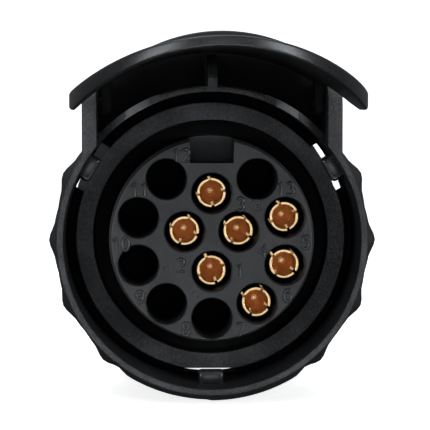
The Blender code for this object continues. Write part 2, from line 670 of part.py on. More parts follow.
def main():
    clear_scene()
    parts = collection("trailer_adapter")
    cutters = collection("cutters")
    plastic = material("black_plastic", BLACK, 0.5)
    smooth_plastic = material("lid_plastic", BLACK, 0.3)
    carrier = material("carrier_plastic", (0.016, 0.016, 0.018), 0.45)
    brass = material("brass", (0.78, 0.50, 0.22), 0.25, 1.0)
    steel = material("steel", (0.55, 0.55, 0.56), 0.3, 1.0)
    rubber = material("rubber", (0.02, 0.02, 0.02), 0.8)
    wire_colours = {
        1: (0.85, 0.65, 0.03), 2: (0.03, 0.10, 0.55), 3: (0.8, 0.8, 0.8), 4: (0.03, 0.35, 0.08),
        5: (0.20, 0.08, 0.03), 6: (0.60, 0.02, 0.02), 7: (0.02, 0.02, 0.02),
    }

    sockets = socket_positions()
    pins = plug_positions()
    finish(make_socket_shell(parts, cutters), plastic)
    finish(make_socket_insert(parts, cutters), carrier)
    tails = [sockets[number] for number in FITTED]
    finish(make_clamp_plate("contact_clamp_plate", BARREL_BORE - 0.4 * MM, ISLAND_BACK + GAP,
                            ISLAND_BACK + GAP + CLAMP_THICK, tails, parts, cutters), carrier)
    finish(turned("insert_seal", ring(ISLAND_RADIUS + 0.6 * MM, BARREL_BORE - 0.6 * MM,
                                      FLOOR_BACK + GAP, FLOOR_BACK + 1.3 * MM), 60, parts), rubber)
    finish(turned("housing_seal", ring(NECK_BORE + 0.4 * MM, NECK_RADIUS, BARREL_END + GAP,
                                       BARREL_END + 1.3 * MM), 60, parts), rubber)
    finish(make_plug_housing(parts, cutters), plastic)
    finish(make_plug_insert(parts, cutters), carrier)
    finish(make_clamp_plate("pin_clamp_plate", NECK_BORE - GAP,
                            CARRIER_BACK - GAP - CLAMP_THICK, CARRIER_BACK - GAP,
                            pins.values(), parts, cutters), carrier)
    for number in FITTED:
        finish(make_contact(number, sockets[number], parts, cutters), brass)
        finish(make_plug_pin(number, pins[number], parts, cutters), brass)
        coat = material("wire_colour_%d" % number, wire_colours[number], 0.5)
        finish(make_wire(number, sockets[number], pins[number], parts), coat)
    for index in range(3):
        at = on_circle(SCREW_CIRCLE, 90 + 120 * index)
        finish(make_screw(index + 1, at, parts, cutters), steel)
    finish(make_hinge_pin("hinge_pin_left", -1, parts), plastic)
    finish(make_hinge_pin("hinge_pin_right", 1, parts), plastic)

    hinge = bpy.data.objects.new("lid_hinge_axis", None)
    parts.objects.link(hinge)
    hinge.location = (0.0, HINGE_Y, HINGE_Z)
    lid = make_lid(parts, cutters)
    finish(lid, smooth_plastic)
    bpy.context.view_layer.update()
    lid.parent = hinge
    lid.matrix_parent_inverse = hinge.matrix_world.inverted()
    for item in bpy.data.objects:
        if item.parent is None:
            item.location.y -= ISLAND_FRONT


main()
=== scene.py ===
"""Studio scene of the trailer lighting adapter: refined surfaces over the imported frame."""
import json
import math

import bmesh
import bpy
from mathutils import Matrix, Vector


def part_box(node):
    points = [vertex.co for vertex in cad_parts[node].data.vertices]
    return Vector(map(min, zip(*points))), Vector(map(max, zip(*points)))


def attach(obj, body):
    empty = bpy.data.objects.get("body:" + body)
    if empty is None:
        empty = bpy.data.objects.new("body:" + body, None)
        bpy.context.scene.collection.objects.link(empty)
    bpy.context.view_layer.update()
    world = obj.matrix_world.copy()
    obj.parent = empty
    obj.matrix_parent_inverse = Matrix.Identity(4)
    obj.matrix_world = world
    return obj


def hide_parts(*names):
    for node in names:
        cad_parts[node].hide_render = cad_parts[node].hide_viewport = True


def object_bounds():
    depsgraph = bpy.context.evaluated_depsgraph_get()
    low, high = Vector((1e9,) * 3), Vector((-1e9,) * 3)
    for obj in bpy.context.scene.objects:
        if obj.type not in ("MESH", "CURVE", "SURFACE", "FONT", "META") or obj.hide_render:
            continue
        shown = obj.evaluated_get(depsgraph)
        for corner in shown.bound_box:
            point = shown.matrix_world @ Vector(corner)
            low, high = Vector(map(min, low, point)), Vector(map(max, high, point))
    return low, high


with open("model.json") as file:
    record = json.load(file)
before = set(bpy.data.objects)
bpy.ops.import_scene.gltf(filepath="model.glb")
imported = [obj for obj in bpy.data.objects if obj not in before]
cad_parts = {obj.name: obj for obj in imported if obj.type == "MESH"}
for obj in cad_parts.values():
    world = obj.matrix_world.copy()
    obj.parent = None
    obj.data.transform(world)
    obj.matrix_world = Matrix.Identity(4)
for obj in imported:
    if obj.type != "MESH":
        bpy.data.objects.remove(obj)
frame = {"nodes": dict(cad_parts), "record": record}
cad_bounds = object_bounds()

MM = 0.001
SHELL_LOW, _ = (Vector(corner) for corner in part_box("socket_shell"))
FACE_LOW, _ = (Vector(corner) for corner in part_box("socket_insert"))
_, LID_HIGH = (Vector(corner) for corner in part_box("lid"))
RIM = SHELL_LOW.y                       # front rim of the collar
HINGE = Vector(frame["record"]["behaviour"]["joints"][0]["pos_m"])

# Socket shell; depths are measured back from the rim.
COLLAR_R = 29.0 * MM                    # outside of the smooth front ring
MOUTH_R = 27.7 * MM                     # inside of the collar
SLEEVE_RISE = 0.3 * MM                  # grip sleeve above the front ring
GRIP_START = 3.2 * MM
GRIP_PITCH = 24.0                       # degrees between crests
GRIP_PLAIN = 0.76                       # height of the plain stretch below, as a share
GRIP_PLAIN_FROM = -59.0                 # degrees, with a blend up to GRIP_BLEND_FROM
GRIP_BLEND_FROM = -52.0
RING_OUT = 25.8 * MM
RING_IN = 22.4 * MM
RING_FRONT = 13.0 * MM
FLOOR_FRONT = 19.0 * MM
FLOOR_BACK = 21.5 * MM
COLLAR_END = 29.0 * MM
# Contact carrier and contacts.
ISLAND_R = 19.35 * MM
ISLAND_FRONT = FACE_LOW.y - RIM
WELL_R = 3.8 * MM
WELL_FLOOR = 21.7 * MM
BARREL_IN = 22.0 * MM
BARREL_OUT = 24.0 * MM
LUG_REACH = 2.4 * MM                    # bayonet lugs, inward from the mouth
LUG_FRONT = 8.5 * MM
LUG_BACK = 12.5 * MM
LUG_HALF = 2.5 * MM
WINDOW_HALF = 5.0 * MM
POST_CIRCLE = 25.4 * MM                 # screw posts
POST_R = 2.1 * MM
POST_BORE = 1.6 * MM
POST_END = 47.7 * MM
EAR_IN = 21.4 * MM
EAR_OUT = 24.2 * MM
HOOD_FRONT = 14.8 * MM
HOOD_BACK = 16.4 * MM
RIB_FRONT = 0.02 * MM
RIB_BACK = 15.6 * MM
RIB_HALF = 0.95 * MM
PIN_HOLE = 1.5 * MM                     # radius of the hinge holes
# Lid, open.
LID_R = 26.4 * MM
LID_BOW = 36.0 * MM
LID_UNDER = 35.1 * MM
LID_THICK = 2.0 * MM                    # at the crown
LID_TOP_BOW = 41.1 * MM
LID_SHOULDER = (24.67 * MM, -8.2 * MM, -4.6 * MM)   # half width, y where the tail narrows
LID_FLAT_FROM = 25.5 * MM               # the underside runs level beyond this
TAIL_HALF = EAR_IN - 0.5 * MM
PAD_HALF = 13.3 * MM
PAD_BOW = 28.6 * MM
PAD_RISE = 0.98 * MM
ARM_R = 2.7 * MM
ARM_THICK = 1.8 * MM
SIDE_PLAY = 0.3 * MM                    # of the lid on its hinge pins
TURN_PLAY = 0.6                         # degrees
OUTER_CIRCLE = 14.5 * MM
OUTER_CENTRE_Z = -0.35 * MM
FITTED = range(1, 8)
STEM_HOLE = 1.7 * MM
KEY_HALF = 4.15 * MM
KEY_FLOOR = 14.35 * MM
KEY_DEPTH = 12.0 * MM
TUBE_R = 2.8 * MM
TUBE_BORE = 2.25 * MM
TUBE_FRONT = 8.0 * MM
STEM_R = 1.4 * MM
TAIL_END = 30.4 * MM
SLIT_HALF = 0.26 * MM
SLIT_DEPTH = 7.0 * MM
BODY = "adapter_body"
BOW_Z = LID_UNDER - LID_BOW             # centre of the underside's bow
LID_CENTRE_Y = HINGE.y - HINGE.z        # centre of the lid's round part


# --- mesh helpers -------------------------------------------------------------
def new_object(name, mesh):
    made = bpy.data.objects.new(name, mesh)
    bpy.context.scene.collection.objects.link(made)
    return made


def from_bmesh(name, work, weld=1e-7):
    bmesh.ops.remove_doubles(work, verts=work.verts, dist=weld)
    bmesh.ops.recalc_face_normals(work, faces=work.faces)
    mesh = bpy.data.meshes.new(name)
    work.to_mesh(mesh)
    work.free()
    return new_object(name, mesh)


def lathe(name, profile, steps, centre=(0.0, 0.0), closed=True):
    """Turn (radius, depth behind the rim) points about an axis along Y."""
    work = bmesh.new()
    verts = [work.verts.new((radius, RIM + depth, 0.0)) for radius, depth in profile]
    edges = [work.edges.new(pair) for pair in zip(verts, verts[1:])]
    if closed:
        edges.append(work.edges.new((verts[-1], verts[0])))
    bmesh.ops.spin(work, geom=verts + edges, cent=(0, 0, 0), axis=(0, 1, 0), angle=2 * math.pi,
                   steps=steps, use_merge=True)
    bmesh.ops.translate(work, verts=work.verts, vec=(centre[0], 0.0, centre[1]))
    return from_bmesh(name, work)


def prism(name, outlines, start, end, axis):
    """Extrude flat outlines; points are (x, z) for axis Y, (y, z) for X, (x, y) for Z."""
    curve = bpy.data.curves.new(name, "CURVE")
    curve.dimensions = "2D"
    curve.fill_mode = "BOTH"
    curve.extrude = (end - start) / 2
    for outline in outlines:
        spline = curve.splines.new("POLY")
        spline.points.add(len(outline) - 1)
        for point, (a, b) in zip(spline.points, outline):
            point.co = (a, b, 0.0, 1.0)
        spline.use_cyclic_u = True
    source = new_object(name, curve)
    middle = (start + end) / 2
    turns = {
        "Z": Matrix.Translation((0, 0, middle)),
        "Y": Matrix(((1, 0, 0, 0), (0, 0, -1, middle), (0, 1, 0, 0), (0, 0, 0, 1))),
        "X": Matrix(((0, 0, 1, middle), (1, 0, 0, 0), (0, 1, 0, 0), (0, 0, 0, 1))),
    }
    mesh = bpy.data.meshes.new_from_object(source)
    mesh.transform(turns[axis])
    bpy.data.objects.remove(source, do_unlink=True)
    work = bmesh.new()
    work.from_mesh(mesh)
    bpy.data.meshes.remove(mesh)
    return from_bmesh(name, work)


def box(name, low, high, turn=0.0, centre=(0.0, 0.0), round_by=0.0):
    """A box between two corners, turned about the socket axis, edges rounded."""
    work = bmesh.new()
    bmesh.ops.create_cube(work, size=1.0)
    low = Vector(low)
    high = Vector(high)
    size = Matrix.Diagonal((*(high - low), 1.0))
    place = Matrix.Translation((centre[0], 0, centre[1])) @ Matrix.Rotation(-turn, 4, "Y")
    bmesh.ops.transform(work, matrix=place @ Matrix.Translation((low + high) / 2) @ size,
                        verts=work.verts)
    if round_by:
        bmesh.ops.bevel(work, geom=work.edges[:], offset=round_by, segments=3, profile=0.5,
                        affect="EDGES")
    return from_bmesh(name, work)


def rod(name, radius, start, end, centre, sides, axis="Y"):
    work = bmesh.new()
    bmesh.ops.create_cone(work, cap_ends=True, segments=sides, radius1=radius, radius2=radius,
                          depth=end - start)
    middle = (start + end) / 2
    if axis == "Y":
        frame_to = Matrix.Translation((centre[0], middle, centre[1])) @ Matrix.Rotation(
            math.pi / 2, 4, "X")
    else:
        frame_to = Matrix.Translation((middle, centre[0], centre[1])) @ Matrix.Rotation(
            math.pi / 2, 4, "Y")
    bmesh.ops.transform(work, matrix=frame_to, verts=work.verts)
    return from_bmesh(name, work)


def combine(target, tool, operation):
    """Apply one exact Boolean and drop the tool."""
    step = target.modifiers.new("step", "BOOLEAN")
    step.operation = operation
    step.solver = "EXACT"
    step.object = tool
    graph = bpy.context.evaluated_depsgraph_get()
    mesh = bpy.data.meshes.new_from_object(target.evaluated_get(graph))
    target.modifiers.clear()
    old = target.data
    target.data = mesh
    bpy.data.meshes.remove(old)
    bpy.data.objects.remove(tool, do_unlink=True)


def smooth(made, angle=32.0):
    made.data.shade_smooth()
    made.data.set_sharp_from_angle(angle=math.radians(angle))


def polar(radius, degrees):
    angle = math.radians(degrees)
    return (radius * math.cos(angle), radius * math.sin(angle))


def socket_positions():
    places = {
        1: (0.0, -6.0 * MM),
        2: (-5.1 * MM, 1.5 * MM),
        3: (0.0, 8.7 * MM),
        4: (5.1 * MM, 1.5 * MM),
    }
    turns = [(number, 18 - 36 * step) for step, number in enumerate(range(5, 13))]
    for number, degrees in turns + [(13, 54)]:
        x, z = polar(OUTER_CIRCLE, degrees)
        places[number] = (x, z + OUTER_CENTRE_Z)
    return places


WELLS = socket_positions()


def fillet(points, radii, steps=4):
    """Round the corners of a closed outline with short curves."""
    count = len(points)
    made = []
    for index, radius in enumerate(radii):
        here = Vector(points[index])
        if not radius:
            made.append(tuple(here))
            continue
        before = (Vector(points[index - 1]) - here)
        after = (Vector(points[(index + 1) % count]) - here)
        start = here + before.normalized() * min(radius, before.length * 0.49)
        end = here + after.normalized() * min(radius, after.length * 0.49)
        for step in range(steps + 1):
            t = step / steps
            made.append(tuple(start * (1 - t) ** 2 + here * (2 * t * (1 - t)) + end * t * t))
    return made


def soften(made, width, angle=25.0, segments=2):
    """Round every edge of a form that turns by more than the given angle."""
    work = bmesh.new()
    work.from_mesh(made.data)
    bmesh.ops.dissolve_limit(work, angle_limit=math.radians(1.0), verts=work.verts,
                             edges=work.edges)
    edges = [edge for edge in work.edges
             if edge.is_manifold and edge.calc_face_angle(0.0) > math.radians(angle)]
    bmesh.ops.bevel(work, geom=edges, offset=width, segments=segments, profile=0.5,
                    affect="EDGES", clamp_overlap=True)
    bmesh.ops.triangulate(work, faces=[face for face in work.faces if len(face.verts) > 4])
    work.to_mesh(made.data)
    work.free()
    return made


def join(name, items):
    """Put several separate forms in one mesh object."""
    work = bmesh.new()
    for item in items:
        part = item.data.copy()
        part.transform(item.matrix_world)
        work.from_mesh(part)
        bpy.data.meshes.remove(part)
        bpy.data.objects.remove(item, do_unlink=True)
    mesh = bpy.data.meshes.new(name)
    work.to_mesh(mesh)
    work.free()
    return new_object(name, mesh)


# --- socket shell -------------------------------------------------------------
def shell_profile():
    sleeve = COLLAR_R + SLEEVE_RISE
    corners = [
        (COLLAR_R - 0.2 * MM, COLLAR_END, 0), (sleeve, COLLAR_END - 0.6 * MM, 0.3),
        (sleeve, 4.4 * MM, 0.5), (COLLAR_R, 3.3 * MM, 0.4),
        (COLLAR_R, 0.0, 0.55), (MOUTH_R, 0.0, 0.4), (MOUTH_R, FLOOR_FRONT, 0.6),
        (RING_OUT, FLOOR_FRONT, 0.5), (RING_OUT, RING_FRONT, 0.3),
        (RING_IN, RING_FRONT, 0.25), (RING_IN, FLOOR_FRONT, 0.4),
        (ISLAND_R + 0.35 * MM, FLOOR_FRONT, 0.1), (ISLAND_R + 0.35 * MM, FLOOR_BACK, 0),
        (BARREL_IN, FLOOR_BACK, 0), (BARREL_IN, COLLAR_END, 0), (BARREL_OUT, COLLAR_END, 0.4),
        (BARREL_OUT, FLOOR_BACK, 0.4), (MOUTH_R, FLOOR_BACK, 0.5), (MOUTH_R, COLLAR_END, 0.3),
    ]
    return fillet([(r, y) for r, y, _ in corners], [size * MM for _, _, size in corners])


def grip_lift(x, z):
    """Height of the finger crests: soft bumps every 24 degrees, alike on both sides."""
    angle = math.degrees(math.atan2(z, abs(x)))
    if angle < GRIP_PLAIN_FROM:
        return GRIP_PLAIN
    half_pitch = GRIP_PITCH / 2
    away = abs((angle + half_pitch) % GRIP_PITCH - half_pitch)
    bump = max(0.0, 1.0 - (away / 5.6) ** 2) ** 1.5
    share = 0.1 + 0.38 * (1.0 - away / half_pitch) + 0.5 * bump
    if angle < GRIP_BLEND_FROM:
        blend = (GRIP_BLEND_FROM - angle) / (GRIP_BLEND_FROM - GRIP_PLAIN_FROM)
        share += (GRIP_PLAIN - share) * blend * blend * (3 - 2 * blend)
    return share


def raise_grip(made):
    """Soft finger crests round the sleeve, plain between the ears."""
    for vertex in made.data.vertices:
        x, y, z = vertex.co
        radius = math.hypot(x, z)
        if radius > COLLAR_R + 0.02 * MM and y > RIM + GRIP_START:
            lift = min(1.0, (radius - COLLAR_R) / SLEEVE_RISE)
            crest = 1.5 * MM if x > 0 else 1.27 * MM    # the left ones stay inside the CAD box
            grown = radius + crest * lift * grip_lift(x, z)
            if z > 0 and abs(x) < EAR_IN + 1.4 * MM:
                grown = COLLAR_R
            vertex.co.x = x * grown / radius
            vertex.co.z = z * grown / radius


def trim_to_wall(form):
    inside = rod("wall_cutter", COLLAR_R - 0.4 * MM, RIM - 5 * MM, RIM + 34 * MM, (0, 0), 180)
    combine(form, inside, "DIFFERENCE")
    return form


def make_ears():
    ears = []
    for side in (-1, 1):
        low, high = sorted((side * EAR_IN, side * EAR_OUT))
        plan = [(0.06, 15.0), (16.8, 15.0), (16.8, 27.8), (15.3, 29.3), (5.0, 29.3),
                (2.0, 28.4), (0.06, 25.9)]
        plan = fillet(plan, [0, 0, 0.8, 0.8, 1.2, 1.4, 1.2], steps=5)
        ears.append(soften(prism("ear_form", [[(RIM + y * MM, z * MM) for y, z in plan]],
                                 low, high, "X"), 0.3 * MM, 28, 3))
    return join("ears", ears)


def make_hood():
    """Wall between the ears, with a bowed top edge under the lid."""
    half = EAR_OUT - 0.4 * MM
    bow = LID_BOW + 1.5 * MM
    outline = [(-half, 16 * MM), (half, 16 * MM)]
    for step in range(33):
        x = half * (1 - step / 16)
        outline.append((x, BOW_Z + math.sqrt(bow * bow - x * x)))
    hood = prism("hood_form", [outline], RIM + HOOD_FRONT, RIM + HOOD_BACK, "Y")
    return soften(hood, 0.25 * MM, 40)


def make_rib():
    """Centre rib in front of the hood, its top on an arc about the hinge."""
    reach = LID_UNDER - HINGE.z - 0.4 * MM
    foot = MOUTH_R + 0.6 * MM
    outline = [(RIM + RIB_BACK, foot), (RIM + RIB_BACK, HINGE.z + reach)]
    for step in range(17):
        angle = math.radians(90 + 60 * step / 16)
        y = HINGE.y + reach * math.cos(angle)
        if y > RIM:
            outline.append((y, HINGE.z + reach * math.sin(angle)))
    outline.append((RIM + RIB_FRONT, HINGE.z + math.sqrt(reach ** 2 - (HINGE.y - RIM) ** 2)))
    outline.append((RIM + RIB_FRONT, foot))
    return soften(prism("rib_form", [outline], -RIB_HALF, RIB_HALF, "X"), 0.22 * MM, 30, 3)


def make_relief():
    """Space the tail of the lid sweeps as it closes."""
    crown = HINGE.y + HINGE.z - LID_UNDER
    clear = LID_BOW - 0.5 * MM
    half = EAR_IN + 0.1 * MM
    relief = []
    for step in range(41):
        x = half * (1 - step / 20)
        relief.append((x, crown + LID_BOW - math.sqrt(clear * clear - x * x)))
    relief += [(-half, RIM - 8 * MM), (half, RIM - 8 * MM)]
    return prism("relief", [relief], 17.2 * MM, 34 * MM, "Z")


def make_shell():
    shell = lathe("socket_shell_fine", shell_profile(), 180)
    raise_grip(shell)
    combine(shell, trim_to_wall(make_ears()), "UNION")
    combine(shell, trim_to_wall(make_hood()), "UNION")
    combine(shell, make_rib(), "UNION")
    combine(shell, make_relief(), "DIFFERENCE")

    holes = []
    for side in (-1, 1):
        low, high = sorted((side * (EAR_IN - 1 * MM), side * (EAR_OUT + 1 * MM)))
        holes.append(rod("hinge_hole", PIN_HOLE, low, high, (HINGE.y, HINGE.z), 40, "X"))
    combine(shell, join("holes", holes), "DIFFERENCE")

    lugs, posts, windows, bores = [], [], [], []
    for index in range(3):
        turn = math.radians(30 + 120 * index)
        lugs.append(box("lug", (MOUTH_R - LUG_REACH, RIM + LUG_FRONT, -LUG_HALF),
                        (MOUTH_R + 0.5 * MM, RIM + LUG_BACK, LUG_HALF), turn, round_by=0.7 * MM))
        windows.append(box("window",
                           (RING_OUT - 0.5 * MM, RIM + RING_FRONT - 0.2 * MM, -WINDOW_HALF),
                           (MOUTH_R - 0.5 * MM, RIM + FLOOR_BACK + 1 * MM, WINDOW_HALF), turn))
        at = polar(POST_CIRCLE, 90 + 120 * index)
        posts.append(rod("post", POST_R, RIM + FLOOR_BACK - 1 * MM, RIM + POST_END, at, 40))
        bores.append(rod("bore", POST_BORE, RIM + FLOOR_BACK + 4 * MM, RIM + 48 * MM, at, 32))
    combine(shell, join("additions", lugs + posts), "UNION")
    combine(shell, join("openings", windows + bores), "DIFFERENCE")
    return shell


# --- lid ----------------------------------------------------------------------
def lid_outline():
    """Plan of the open lid: round, with a straight tail between the ears."""
    half_width, shoulder_y, tail_y = LID_SHOULDER
    meet = math.atan2(half_width, RIM + shoulder_y - LID_CENTRE_Y)
    points = [(LID_R * math.sin(meet + (2 * math.pi - 2 * meet) * step / 150),
               LID_CENTRE_Y + LID_R * math.cos(meet + (2 * math.pi - 2 * meet) * step / 150))
              for step in range(151)]
    end = LID_HIGH.y
    start = RIM + tail_y
    wide, low = points[-1]
    left = [(wide + (-TAIL_HALF - wide) * step / 5, low + (start - low) * step / 5)
            for step in range(1, 6)]
    left += [(-TAIL_HALF, start + (end - 1.5 * MM - start) * step / 12) for step in range(1, 13)]
    corner = [(-TAIL_HALF + 1.5 * MM * (1 - math.cos(math.radians(a))),
               end - 1.5 * MM * (1 - math.sin(math.radians(a)))) for a in range(15, 91, 15)]
    top = [(-TAIL_HALF + 1.5 * MM + (2 * TAIL_HALF - 3 * MM) * step / 30, end)
           for step in range(1, 30)]
    points += left + corner + top
    points += [(-x, y) for x, y in reversed(left + corner)]
    return points


FACES = {"low": (LID_BOW, LID_UNDER), "high": (LID_TOP_BOW, LID_UNDER + LID_THICK)}


def bow_height(radius, crown, x):
    """Height of a bowed face; the underside runs level at its very ends."""
    if radius == LID_BOW:
        x = min(abs(x), LID_FLAT_FROM)
    return crown - radius + math.sqrt(radius * radius - x * x)


def inset(outline, index, distance, middle):
    """A point of the outline, moved inward along its normal."""
    point = outline[index]
    along = (outline[(index + 1) % len(outline)] - outline[index - 1]).normalized()
    inward = Vector((-along.y, along.x))
    if inward.dot(middle - point) < 0:
        inward = -inward
    return point + inward * distance


def lid_rows():
    """Rows from the underside's middle, round the edge, to the middle of the outer face."""
    low_edge, top_edge = 0.65 * MM, 0.4 * MM
    rows = []
    for scale in [step / 16 for step in range(1, 16)]:
        rows.append(("low", low_edge, scale, 0.0))
    for step in range(7):
        angle = math.radians(15 * step)
        rows.append(("low", low_edge * (1 - math.sin(angle)), 1.0,
                     low_edge * (1 - math.cos(angle))))
    for step in range(7):
        angle = math.radians(90 - 15 * step)
        rows.append(("high", top_edge * (1 - math.sin(angle)), 1.0,
                     -top_edge * (1 - math.cos(angle))))
    for scale in [1 - step / 16 for step in range(1, 16)]:
        rows.append(("high", top_edge, scale, 0.0))
    return rows


def make_lid_plate():
    outline = [Vector(point) for point in lid_outline()]
    count = len(outline)
    middle = Vector((0.0, LID_CENTRE_Y + 2 * MM))
    work = bmesh.new()
    rings = []
    for face, distance, scale, lift in lid_rows():
        radius, crown = FACES[face]
        ring = []
        for index in range(count):
            moved = inset(outline, index, distance, middle)
            moved = middle + (moved - middle) * scale
            height = bow_height(radius, crown, moved.x) + lift
            ring.append(work.verts.new((moved.x, moved.y, height)))
        rings.append(ring)
    for lower, upper in zip(rings, rings[1:]):
        for index in range(count):
            after = (index + 1) % count
            work.faces.new((lower[index], lower[after], upper[after], upper[index]))
    for ring, crown in ((rings[0], LID_UNDER), (rings[-1], LID_UNDER + LID_THICK)):
        tip = work.verts.new((middle.x, middle.y, crown))
        for index in range(count):
            work.faces.new((ring[index], ring[(index + 1) % count], tip))
    return from_bmesh("lid_fine", work)


def make_pad():
    """Low bowed pad on the outer face."""
    outer = LID_UNDER + LID_THICK
    section = []
    for step in range(25):
        x = PAD_HALF * (step / 12 - 1)
        section.append((x, bow_height(PAD_BOW, outer + PAD_RISE, x)))
    for step in range(25):
        x = PAD_HALF * (1 - step / 12)
        section.append((x, bow_height(LID_TOP_BOW, outer - 0.6 * MM, x)))
    pad = prism("pad", [section], LID_CENTRE_Y - 16 * MM, LID_CENTRE_Y + 12 * MM, "Y")
    return soften(pad, 0.4 * MM, 30, 3)


def make_lid():
    lid = make_lid_plate()
    combine(lid, make_pad(), "UNION")
    arms, holes = [], []
    for side in (-1, 1):
        low, high = sorted((side * (TAIL_HALF - ARM_THICK), side * (TAIL_HALF - 0.02 * MM)))
        top = BOW_Z + math.sqrt(LID_BOW ** 2 - TAIL_HALF ** 2) + 1.6 * MM
        plan = [(HINGE.y + ARM_R, top), (HINGE.y - ARM_R, top)]
        for step in range(25):
            angle = math.pi + math.pi * step / 24
            plan.append((HINGE.y + ARM_R * math.cos(angle), HINGE.z + ARM_R * math.sin(angle)))
        arms.append(soften(prism("arm", [plan], low, high, "X"), 0.25 * MM, 30))
        low, high = sorted((side * (TAIL_HALF - 3 * MM), side * (TAIL_HALF + 1 * MM)))
        holes.append(rod("arm_hole", PIN_HOLE, low, high, (HINGE.y, HINGE.z), 40, "X"))
    combine(lid, join("arms", arms), "UNION")
    combine(lid, join("arm_holes", holes), "DIFFERENCE")
    play = Matrix.Translation(HINGE + Vector((SIDE_PLAY, 0, 0))) @ Matrix.Rotation(
        math.radians(TURN_PLAY), 4, "Z") @ Matrix.Translation(-HINGE)
    lid.data.transform(play)
    return lid


# --- contact carrier ----------------------------------------------------------
def make_carrier():
    """Round carrier with a stepped edge, 13 wells and the key slot."""
    front = ISLAND_FRONT
    corners = [
        (0.0, 26.6 * MM, 0), (21.6 * MM, 26.6 * MM, 0), (21.6 * MM, 23.1 * MM, 0),
        (ISLAND_R, 23.1 * MM, 0), (ISLAND_R, front + 1.7 * MM, 0.15),
        (ISLAND_R - 0.3 * MM, front + 1.55 * MM, 0.1), (ISLAND_R - 0.35 * MM, front, 0.35),
        (0.0, front, 0),
    ]
    profile = fillet([(r, y) for r, y, _ in corners], [size * MM for _, _, size in corners])
    carrier = lathe("socket_insert_fine", profile, 180, closed=False)
    cutters = []
    for centre in WELLS.values():
        well = [(0.0, front - 1.0 * MM), (WELL_R + 0.35 * MM, front - 1.0 * MM),
                (WELL_R + 0.35 * MM, front - 0.15 * MM), (WELL_R + 0.02 * MM, front + 0.18 * MM),
                (WELL_R, front + 0.4 * MM), (WELL_R - 0.04 * MM, WELL_FLOOR - 0.3 * MM),
                (WELL_R - 0.35 * MM, WELL_FLOOR), (0.0, WELL_FLOOR)]
        cutters.append(lathe("well", well, 56, centre, closed=False))
    combine(carrier, join("wells", cutters), "DIFFERENCE")
    stems = [rod("stem", STEM_HOLE, RIM + WELL_FLOOR - 1 * MM, RIM + 28 * MM, WELLS[number], 24)
             for number in FITTED]
    combine(carrier, join("stems", stems), "DIFFERENCE")
    key = box("key", (-KEY_HALF, RIM + front - 2 * MM, KEY_FLOOR),
              (KEY_HALF, RIM + front + KEY_DEPTH, ISLAND_R + 2 * MM))
    combine(carrier, key, "DIFFERENCE")
    return carrier


# --- contacts -----------------------------------------------------------------
SLIT_ANGLES = {1: 22, 2: 71, 3: 8, 4: 62, 5: 20, 6: 53, 7: 65}


def make_contact(number):
    """A drilled tube on a stem, split in four, its leaves sprung a little apart."""
    tube, bore, front = TUBE_R, TUBE_BORE, TUBE_FRONT
    back = WELL_FLOOR - 0.3 * MM
    corners = [
        (0.0, TAIL_END, 0), (STEM_R, TAIL_END, 0.2), (STEM_R, back, 0), (tube, back, 0.2),
        (tube, front, 0.14), (bore, front, 0.10), (bore, front + 4.6 * MM, 0.1),
        (bore - 0.12 * MM, front + 4.8 * MM, 0.1), (bore - 0.12 * MM, front + 6.9 * MM, 0.1),
        (0.75 * MM, front + 9.4 * MM, 0.15), (0.62 * MM, front + 10.1 * MM, 0.1),
        (0.0, front + 10.2 * MM, 0),
    ]
    profile = fillet([(r, y) for r, y, _ in corners], [size * MM for _, _, size in corners])
    centre = WELLS[number]
    contact = lathe("contact_%d" % number, profile, 48, centre, closed=False)
    angle = math.radians(SLIT_ANGLES[number])
    slits = [box("slit", (-tube - 1 * MM, RIM + front - 1 * MM, -SLIT_HALF),
                 (tube + 1 * MM, RIM + front + SLIT_DEPTH, SLIT_HALF),
                 angle + quarter * math.pi / 2, centre) for quarter in range(2)]
    for slit in slits:
        combine(contact, slit, "DIFFERENCE")
    for vertex in contact.data.vertices:
        along = (vertex.co.y - RIM - front) / SLIT_DEPTH
        if along < 1.0:
            x, z = vertex.co.x - centre[0], vertex.co.z - centre[1]
            quarter = int(((math.atan2(z, x) - angle) % (2 * math.pi)) / (math.pi / 2))
            spread = (0.02, 0.07, -0.03, 0.05)[(quarter + 3 * number) % 4] * MM
            facing = angle + (quarter + 0.5) * math.pi / 2
            share = (1 - along) ** 2 * spread
            vertex.co.x += share * math.cos(facing)
            vertex.co.z += share * math.sin(facing)
    return contact


# --- raised numerals and moulding marks ---------------------------------------
def arc(cx, cz, rx, rz, start, end, steps=10):
    return [(cx + rx * math.cos(math.radians(start + (end - start) * k / steps)),
             cz + rz * math.sin(math.radians(start + (end - start) * k / steps)))
            for k in range(steps + 1)]


DIGITS = {
    "0": [arc(0.5, 0.8, 0.42, 0.8, 90, 450, 24)],
    "1": [[(0.22, 1.25), (0.58, 1.6), (0.58, 0.0)]],
    "2": [arc(0.5, 1.15, 0.42, 0.45, 165, -35, 12) + [(0.08, 0.0), (0.95, 0.0)]],
    "3": [arc(0.45, 1.2, 0.40, 0.40, 150, -80, 10) + arc(0.45, 0.42, 0.45, 0.42, 80, -150, 10)],
    "4": [[(0.72, 0.0), (0.72, 1.6), (0.02, 0.5), (1.0, 0.5)]],
    "5": [[(0.88, 1.6), (0.2, 1.6), (0.12, 0.92)] + arc(0.46, 0.5, 0.44, 0.5, 125, -150, 12)],
    "6": [[(0.8, 1.5)] + arc(0.62, 0.7, 0.56, 0.85, 115, 185, 6)
          + arc(0.5, 0.46, 0.43, 0.46, 180, 540, 20)],
    "7": [[(0.06, 1.6), (0.95, 1.6), (0.4, 0.0)]],
    "8": [arc(0.5, 1.2, 0.36, 0.38, -90, 270, 18) + arc(0.5, 0.42, 0.44, 0.42, 90, 450, 18)],
    "9": [arc(0.5, 1.14, 0.43, 0.46, 0, 360, 20) + arc(0.38, 0.9, 0.56, 0.85, 5, -65, 6)
          + [(0.2, 0.1)]],
}
DIGIT_HEIGHT = 2.35 * MM
